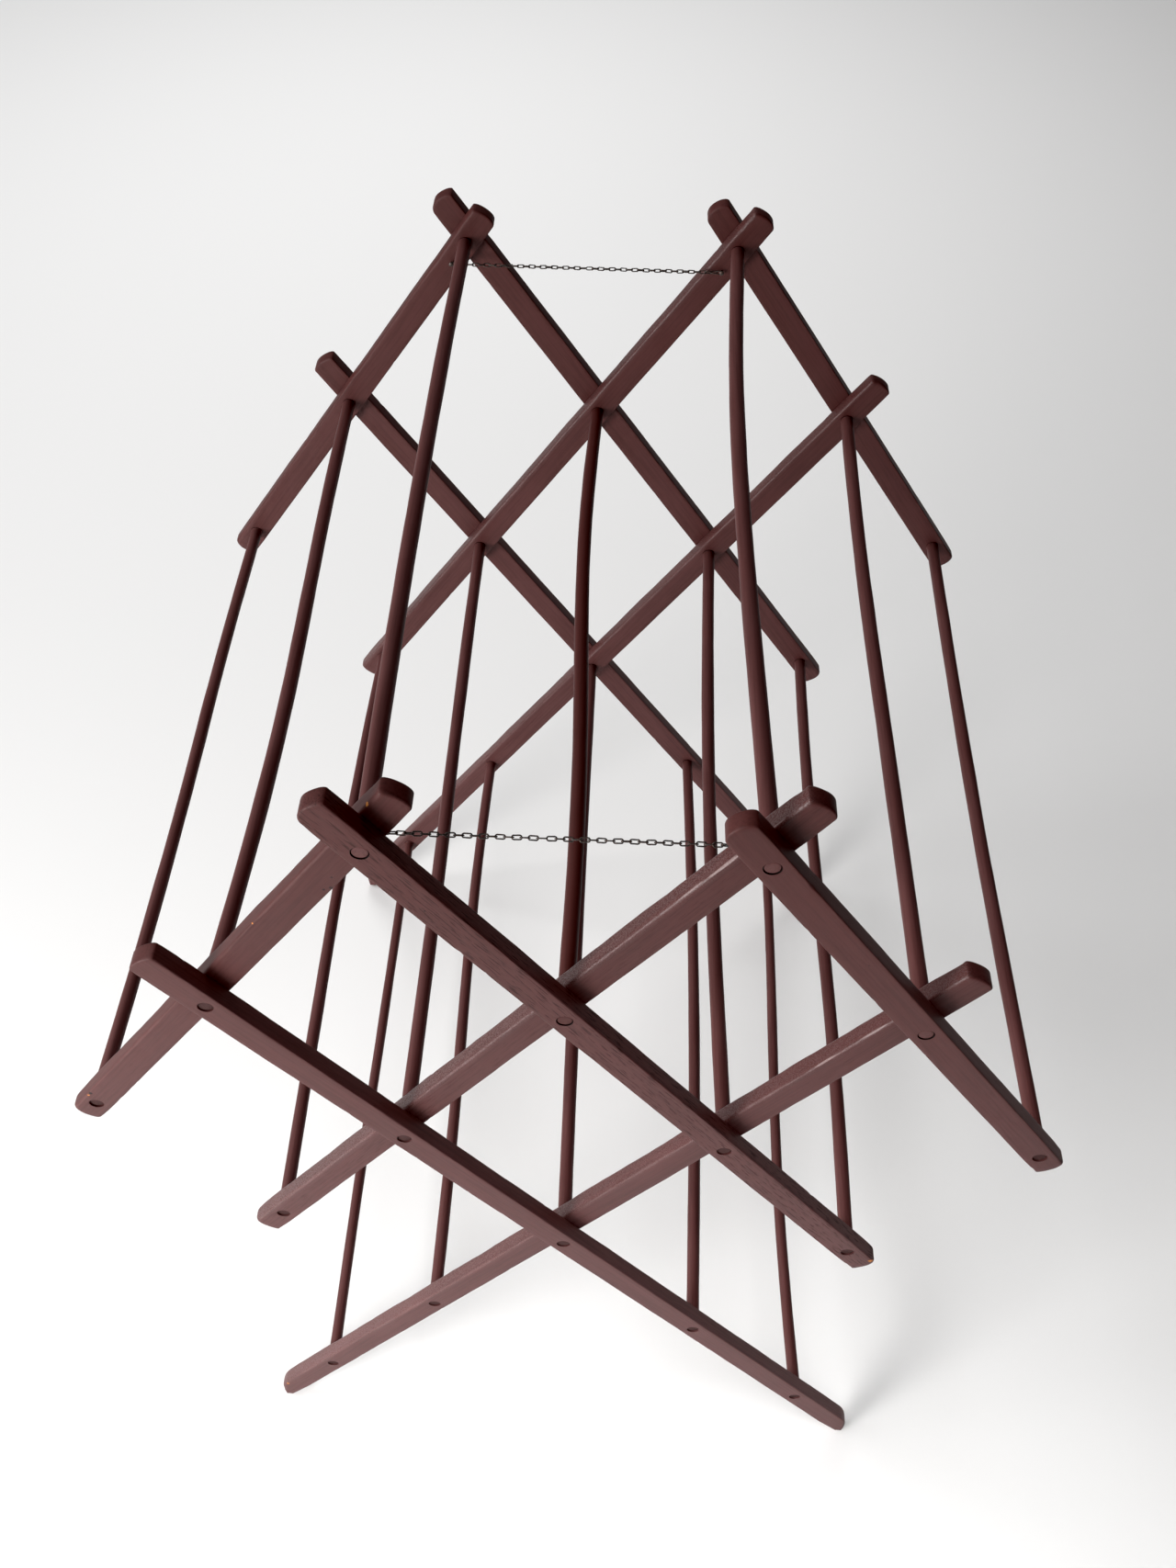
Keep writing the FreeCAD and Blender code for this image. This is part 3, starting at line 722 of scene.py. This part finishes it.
def make_half_chain(side, end, seed):
    """Half a chain. A link's middle is half a straight length on from where it starts, and its
    turn about the chain's line is a quarter turn per link, the slow twist, and a small wobble."""
    step = chain_step(side)
    straight = step - (LINK_WIDTH - 4 * WIRE - LINK_PLAY)
    ring = oval_ring(straight)
    number = np.arange(LINKS)
    place = number if end == "left" else 2 * LINKS - 1 - number
    wobble = np.random.default_rng(seed).uniform(-WOBBLE, WOBBLE, LINKS)
    turn = np.radians(90 * place + np.interp(place, TWIST_AT, TWIST_DEGREES) + wobble)
    cosine, sine = np.cos(turn)[:, None, None], np.sin(turn)[:, None, None]
    x = np.broadcast_to(ring[..., 0], (LINKS, *ring.shape[:2]))
    y = ring[..., 1] * cosine + ring[..., 2] * sine
    z = ring[..., 2] * cosine - ring[..., 1] * sine
    direction = 1 if end == "left" else -1
    nail, _, _ = nail_place(side, end)
    low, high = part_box(f"chain_{side}_left")
    middle = direction * (number * step + straight / 2)
    x = nail[0] + middle[:, None, None] + x
    points = np.stack([x, (low.y + high.y) / 2 + y, nail[1] + z], axis=-1)
    index = np.arange(points[..., 0].size).reshape(points.shape[:3])
    beside, above = np.roll(index, -1, axis=1), np.roll(index, -1, axis=2)
    faces = np.stack([index, beside, np.roll(beside, -1, axis=2), above], axis=-1).reshape(-1, 4)
    piece = new_piece(f"links_{side}_{end}", closed_mesh("links", points, faces), angle=80)
    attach(piece, body_of(f"chain_{side}_{end}"))
    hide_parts(f"chain_{side}_{end}")
    return piece


chains = [make_half_chain(side, end, 31 + 2 * number)
          for number, (side, end) in enumerate(product(SIDES, ENDS))]
print(len(chains), "half chains,", sum(len(piece.data.polygons) for piece in chains), "faces")

# %% Nails
NAIL_HEAD = 2.2 * MM
NAIL_SHANK = 0.7 * MM
HEAD_HEIGHT = 1.0 * MM


def make_nail(side, end):
    """A nail as a profile turned about its axis: shank radius up to the head, then a flat
    underside and a low dome, height * (1 - (r / R) ^ 2.4)."""
    centre, point, head = nail_place(side, end)
    inward = math.copysign(1, head - point)
    dome = np.linspace(1, 0, 9)
    height = HEAD_HEIGHT * (0.25 + 0.75 * (1 - dome ** 2.4))
    radius = np.concatenate([[0, NAIL_SHANK * 0.6, NAIL_SHANK, NAIL_SHANK], NAIL_HEAD * dome])
    base = abs(head - point) - HEAD_HEIGHT
    travel = np.concatenate([[0, 0, 1.5 * MM, base], base + height])
    radius = np.insert(radius, 4, NAIL_HEAD * 0.97)
    travel = np.insert(travel, 4, base)
    angle = np.linspace(0, TURN, 20, endpoint=False)
    x = centre[0] + radius[:, None] * np.cos(angle)
    z = centre[1] + radius[:, None] * np.sin(angle)
    y = np.broadcast_to((point + inward * travel)[:, None], x.shape)
    mesh = closed_mesh("nail", np.stack([x, y, z], axis=-1), grid_faces(*x.shape))
    piece = new_piece(f"iron_nail_{side}_{end}", mesh, angle=50)
    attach(piece, body_of(f"nail_{side}_{end}"))
    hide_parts(f"nail_{side}_{end}")
    return piece


nails = [make_nail(side, end) for side, end in product(SIDES, ENDS)]
print(len(nails), "nails")

# %% [markdown]
# ## Shader maths as Python
# A finish is easier to read as arithmetic than as a drawing of nodes. A Value stands for one
# output socket. Adding, subtracting or multiplying values adds the Math node that does it, and
# every other node comes from a single method of the finish that is being made.

# %% A value in a shader, and a finish
class Value:
    """One output socket, with Python's operators standing for Math nodes."""

    def __init__(self, finish, socket):
        self.finish, self.socket = finish, socket

    def math(self, operation, first, second):
        return self.finish.node("Math", {"operation": operation}, {0: first, 1: second})

    def __add__(self, other):
        return self.math("ADD", self, other)

    def __radd__(self, other):
        return self.math("ADD", other, self)

    def __sub__(self, other):
        return self.math("SUBTRACT", self, other)

    def __rsub__(self, other):
        return self.math("SUBTRACT", other, self)

    def __mul__(self, other):
        return self.math("MULTIPLY", self, other)

    def __rmul__(self, other):
        return self.math("MULTIPLY", other, self)


class Finish:
    """A material with one Principled shader, built node by node."""

    def __init__(self, name, **constants):
        self.material = bpy.data.materials.new(name)
        self.material.use_nodes = True
        self.tree = self.material.node_tree
        self.shader = self.tree.nodes["Principled BSDF"]
        for socket, number in constants.items():
            self.shader.inputs[socket.replace("_", " ")].default_value = number

    def node(self, kind, settings=(), inputs=(), output=0):
        """Add a node: its settings first, and then its sockets' values or links."""
        made = self.tree.nodes.new("ShaderNode" + kind)
        for setting, choice in dict(settings).items():
            setattr(made, setting, choice)
        for socket, given in dict(inputs).items():
            self.feed(made.inputs[socket], given)
        return Value(self, made.outputs[output])

    def feed(self, socket, given):
        """Link a value to a socket, or set the socket to a plain number or tuple."""
        if isinstance(given, Value):
            self.tree.links.new(given.socket, socket)
        else:
            socket.default_value = given

    def surface(self, **sockets):
        """Feed the Principled shader's own sockets."""
        for socket, given in sockets.items():
            self.feed(self.shader.inputs[socket.replace("_", " ")], given)

    def attribute(self, name, output):
        return self.node("Attribute", {"attribute_name": name}, output=output)

    def stretched(self, vector, factors):
        return self.node("VectorMath", {"operation": "MULTIPLY"}, {0: vector, 1: factors})

    def noise(self, vector, detail=2.0, roughness=0.5):
        inputs = {"Vector": vector, "Scale": 1.0, "Detail": detail, "Roughness": roughness}
        return self.node("TexNoise", {}, inputs)

    def between(self, value, low, high):
        """0 below low, 1 above high, and a smooth step from one to the other."""
        ends = {"Value": value, "From Min": low, "From Max": high}
        return self.node("MapRange", {"interpolation_type": "SMOOTHSTEP"}, ends)

    def mixed(self, mask, first, second):
        """A colour from first, where the mask is 0, to second, where it is 1."""
        return self.node("Mix", {"data_type": "RGBA"}, {0: mask, 6: first, 7: second}, output=2)


print("shader tools ready")

# %% [markdown]
# ## Old maroon paint
# The paint is a brown maroon oil paint, brushed on thin, so that the wood's grain still shows
# as fine streaks along each piece. It has gone dull in patches, it is a little paler where
# hands and laundry rubbed the edges, and bare orange wood shows in a few small chips. Every
# pattern reads grain, the place in the piece's own axes, so it runs along each stick whichever
# way the stick points. A noise is drawn out along the grain by giving that axis a small factor.

# %% Painted wood
DEEP_MAROON = (0.018, 0.0045, 0.0035, 1)
MAROON = (0.048, 0.0090, 0.0074, 1)
# A pale mauve for dust and for a painted sheen of reflected light.
DUST_AND_SHEEN_MAROON = (0.122, 0.051, 0.050, 1)
RUBBED = (0.080, 0.028, 0.012, 1)
# Near-black painted shade for the gaps round the tenons and for the sunk tenon ends.
PAINTED_SHADE_COLOUR = (0.006, 0.003, 0.0025, 1)
BARE_WOOD = (0.50, 0.19, 0.05, 1)
SPECK = (0.008, 0.003, 0.002, 1)
# A painted highlight, pale pinkish grey, on some upper edges.
PAINTED_HIGHLIGHT = (0.22, 0.15, 0.145, 1)
# How many times as long as it is wide a painted highlight streak is.
HIGHLIGHT_LENGTH = 14


def near_places(finish, grain, places):
    """1 at the heart of each place and 0 outside it, from the distance to its centre, with a
    fine noise on the distance so that the patch has a ragged outline."""
    ragged = finish.noise(finish.stretched(grain, (500, 900, 900)), detail=2.0)
    found = 0.0
    for centre, size in places:
        gap = finish.node("VectorMath", {"operation": "DISTANCE"}, {0: grain, 1: centre}, output=1)
        patch = finish.between(gap + (ragged - 0.5) * (1.6 * size), size, 0.55 * size)
        found = finish.node("Math", {"operation": "MAXIMUM"}, {0: found, 1: patch})
    return found


def painted_wood(name, chips=(), specks=(), highlight_streaks=()):
    """The paint on slats and dowels. Chips, specks and highlight streaks are lists of (place in the
    grain, size). A painted highlight streak is a patch drawn out along the grain, so its distances
    are shortened that way."""
    finish = Finish(name, Specular_IOR_Level=0.24, IOR=1.45, Coat_Roughness=0.48)
    grain = finish.attribute("grain", 1)
    wear_and_sheen = finish.attribute("wear_and_sheen", 1)
    rub, dust_and_sheen, open_grain = (finish.node("SeparateXYZ", {}, {0: wear_and_sheen}, output=axis) for axis in range(3))
    painted_shade = finish.attribute("painted_shade", 2)
    streaks = finish.noise(finish.stretched(grain, (14, 500, 500)), detail=3.0)
    dashes = finish.noise(finish.stretched(grain, (60, 800, 800)), detail=2.0)
    mottle = finish.noise(finish.stretched(grain, (11, 48, 48)), detail=4.0, roughness=0.6)
    grit = finish.noise(finish.stretched(grain, (900, 1500, 1500)), detail=2.0)

    pore = finish.between(dashes, 0.54, 0.64) * open_grain
    # Dust and a painted sheen pale the paint in patches.
    colour = finish.mixed(dust_and_sheen * (0.35 + 0.9 * mottle), MAROON, DUST_AND_SHEEN_MAROON)
    colour = finish.mixed(finish.between(streaks, 0.60, 0.30) * 0.25, colour, DEEP_MAROON)
    colour = finish.mixed(pore * 0.65, colour, DEEP_MAROON)
    rubbed = finish.between(rub * 0.75 + mottle * 0.5, 0.85, 1.25)
    colour = finish.mixed(rubbed * 0.5, colour, RUBBED)
    # Painted highlights: pale streaks drawn out along some upper edges.
    shorter = [((x / HIGHLIGHT_LENGTH, y, z), size) for (x, y, z), size in highlight_streaks]
    streak_highlight = near_places(finish, finish.stretched(grain, (1 / HIGHLIGHT_LENGTH, 1, 1)), shorter)
    colour = finish.mixed(streak_highlight * 0.6, colour, PAINTED_HIGHLIGHT)
    chip = near_places(finish, grain, chips)
    colour = finish.mixed(chip, colour, BARE_WOOD)
    colour = finish.mixed(near_places(finish, grain, specks), colour, SPECK)
    # Painted shade in the gaps round the tenons and on the sunk tenon ends.
    colour = finish.mixed(painted_shade, colour, PAINTED_SHADE_COLOUR)

    roughness = 0.42 + 0.16 * mottle + 0.12 * pore + 0.3 * chip + 0.06 * grit + 0.4 * painted_shade
    height = streaks * 0.30 - pore * 0.6 - chip * 0.8 + mottle * 0.3 + grit * (0.12 + 0.5 * rub)
    bump = finish.node("Bump", {}, {"Strength": 0.5, "Distance": 0.12 * MM, "Height": height})
    shine = finish.attribute("polish", 2) * finish.between(grit, 0.36, 0.62)
    finish.surface(Base_Color=colour, Roughness=roughness, Coat_Weight=shine, Normal=bump)
    return finish.material


# %% Where paint is missing, where small dark specks sit and where highlights are painted on the edges
# Each place is on one slat: its kind and side, the end that it is measured from, and then in
# millimetres how far in from that end, how far across, how far through, and how large.
CHIPS = [
    ("inner_short", "front", "tip", 18, 12, -6.2, 1.6),
    ("outer_long", "front", "tail", 10, 9.8, -7.3, 2.4),
    ("inner_leg", "front", "tail", 33, 8.8, -7.1, 1.9),
    ("inner_short", "front", "tip", 112, 12.3, -7.2, 0.9),
    ("inner_short", "front", "tip", 176, 12.3, -7.2, 0.9),
    ("inner_short", "front", "tail", 34, 10.5, -7.2, 1.1),
]
SPECKS = [
    ("inner_short", "front", "tip", 96, -6, -7.4, 0.9),
    ("inner_short", "front", "tip", 111, -8, -7.4, 1.2),
    ("inner_short", "front", "tip", 106, -11, -7.4, 1.4),
    ("inner_short", "front", "tail", 38, 10.4, -7.2, 2.0),
    ("outer_long", "front", "tip", 120, -3, -7.4, 0.9),
    ("outer_short", "front", "tip", 170, 4, -7.4, 0.8),
]
# Painted highlights along the upper edges of the front inner long and inner leg slats.
HIGHLIGHT_STREAKS = [
    ("inner_long", "front", "tip", 84, 12, -6.6, 1.5),
    ("inner_long", "front", "tip", 118, 12, -6.0, 1.1),
    ("inner_long", "front", "tip", 44, 12, -6.0, 1.2),
    ("inner_leg", "front", "tip", 95, 12, -6.0, 1.2),
    ("inner_leg", "front", "tip", 150, 12, -6.4, 1.0),
]


def places_on_slats(rows):
    """The rows of such a list as (place in the grain, size) pairs."""
    places = []
    for kind, side, end, inward, across, through, size in rows:
        slat = measured[kind, side]
        along = slat[end] + (inward if end == "tip" else -inward) * MM
        places.append(((along + slat["seed"], across * MM, through * MM), size * MM))
    return places


slat_paint = painted_wood("slat_paint", *(places_on_slats(rows) for rows in (CHIPS, SPECKS, HIGHLIGHT_STREAKS)))
dowel_paint = painted_wood("dowel_paint")
for piece in slats:
    piece.data.materials.clear()
    piece.data.materials.append(slat_paint)
for piece in dowels.values():
    piece.data.materials.append(dowel_paint)
print("painted", len(slats) + len(dowels), "pieces")

# %% [markdown]
# ## Dark iron
# The chain and the nails are plain iron wire, dark with age, with a little brown rust in the
# hollows. Rust isn't metallic, so the same mask that turns the colour brown takes the metal away.

# %% Iron
def dark_iron(name):
    """Aged iron: nearly black metal with brown, dull rust where a noise is high."""
    finish = Finish(name)
    place = finish.node("TexCoord", output=3)
    spots = finish.noise(finish.stretched(place, (900, 900, 900)), detail=3.0)
    rust = finish.between(spots, 0.48, 0.66)
    colour = finish.mixed(rust, (0.055, 0.048, 0.045, 1), (0.060, 0.026, 0.014, 1))
    finish.surface(Base_Color=colour, Metallic=0.85 - rust * 0.8, Roughness=0.38 + rust * 0.35)
    return finish.material


iron = dark_iron("dark_iron")
for piece in chains + nails:
    piece.data.materials.append(iron)

# %% [markdown]
# ## Floor and light
# The floor is plain and pale, and four soft lights do the rest. The window is large, high and
# far to the left. The lamp is nearer, low at the front left, and lights the near lattice. One
# light brightens the floor behind the rack, and the paint doesn't reflect it. The last and
# weakest, above the front, has a narrow beam. A pale world adds a little from everywhere. A dark
# card at the right is there to be reflected, so that the rods turn dark on that side and look round.

# %% Floor
FLOOR_SIZE = 16.0
edge = FLOOR_SIZE / 2
floor_corners = [(-edge, -edge, 0), (edge, -edge, 0), (edge, edge, 0), (-edge, edge, 0)]
floor_mesh = bpy.data.meshes.new("floor")
floor_mesh.from_pydata(floor_corners, [], [(0, 1, 2, 3)])
floor = bpy.data.objects.new("floor", floor_mesh)
bpy.context.scene.collection.objects.link(floor)
floor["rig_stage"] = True
pale = Finish("pale_floor", Roughness=0.75)
pale.surface(Base_Color=(0.84, 0.838, 0.835, 1))
floor_mesh.materials.append(pale.material)
print("floor", FLOOR_SIZE, "m square")

# %% Lights
def area_light(name, place, target, size, power, colour=(1, 1, 1)):
    """A square light at a place that faces a target."""
    data = bpy.data.lights.new(name, "AREA")
    data.size = size
    data.energy = power
    data.color = colour
    light = bpy.data.objects.new(name, data)
    light.location = place
    direction = Vector(target) - Vector(place)
    light.rotation_euler = direction.to_track_quat("-Z", "Y").to_euler()
    bpy.context.scene.collection.objects.link(light)
    return light


area_light("lamp", (-1.6, -1.65, 1.0), (0.0, -0.3, 0.35), 0.9, 66, (1.0, 0.985, 0.97))
area_light("window", (-6.5, 0.5, 5.5), (0.0, 0.8, 0.0), 4.0, 370, (0.98, 0.983, 0.985))
behind = area_light("behind", (-0.6, 3.0, 3.0), (0.8, 2.0, 0.0), 2.0, 66, (0.98, 0.98, 0.98))
behind.visible_glossy = False
near = area_light("near", (0.2, -1.05, 1.5), (0.2, -1.0, 0.0), 0.8, 4.5)
near.data.spread = math.radians(85)

# %% The dark side of the studio
def dark_card(name, corners):
    """A black card that no camera sees and that casts no shadow. It is there for the paint to
    reflect, as the unlit side of a room would be."""
    mesh = bpy.data.meshes.new(name)
    mesh.from_pydata(corners, [], [(0, 1, 2, 3)])
    card = bpy.data.objects.new(name, mesh)
    bpy.context.scene.collection.objects.link(card)
    card.visible_camera = False
    card.visible_shadow = False
    card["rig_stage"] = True
    black = Finish(name, Roughness=1.0)
    black.surface(Base_Color=(0.05, 0.04, 0.04, 1))
    mesh.materials.append(black.material)


dark_card("card_right", [(2.30, -2.0, 0.0), (2.30, 4.5, 0.0), (2.30, 4.5, 3.2), (2.30, -2.0, 3.2)])

# %% Light from everywhere
def studio_world(strength, seen):
    """A pale world that lights weakly and looks pale where the camera sees past the floor."""
    world = bpy.data.worlds.new("studio")
    world.use_nodes = True
    tree = world.node_tree
    background = tree.nodes["Background"]
    background.inputs["Color"].default_value = (0.95, 0.95, 0.955, 1)
    path = tree.nodes.new("ShaderNodeLightPath")
    choose = tree.nodes.new("ShaderNodeMapRange")
    choose.inputs["To Min"].default_value = strength
    choose.inputs["To Max"].default_value = seen
    tree.links.new(path.outputs["Is Camera Ray"], choose.inputs["Value"])
    tree.links.new(choose.outputs["Result"], background.inputs["Strength"])
    bpy.context.scene.world = world


studio_world(strength=0.13, seen=0.85)

# %% How light becomes colour in the picture
# Anything darker than the black point is shown as black, which deepens the darkest paint a little.
BLACK_POINT = 0.005
view = bpy.context.scene.view_settings
view.view_transform = "Standard"
view.use_curve_mapping = True
view.curve_mapping.black_level = (BLACK_POINT, BLACK_POINT, BLACK_POINT)
view.curve_mapping.update()

# %% [markdown]
# ## Size
# The finished pieces must stay inside the frame's own box, so the box round them is measured.

# %% The box round the finished pieces
low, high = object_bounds()
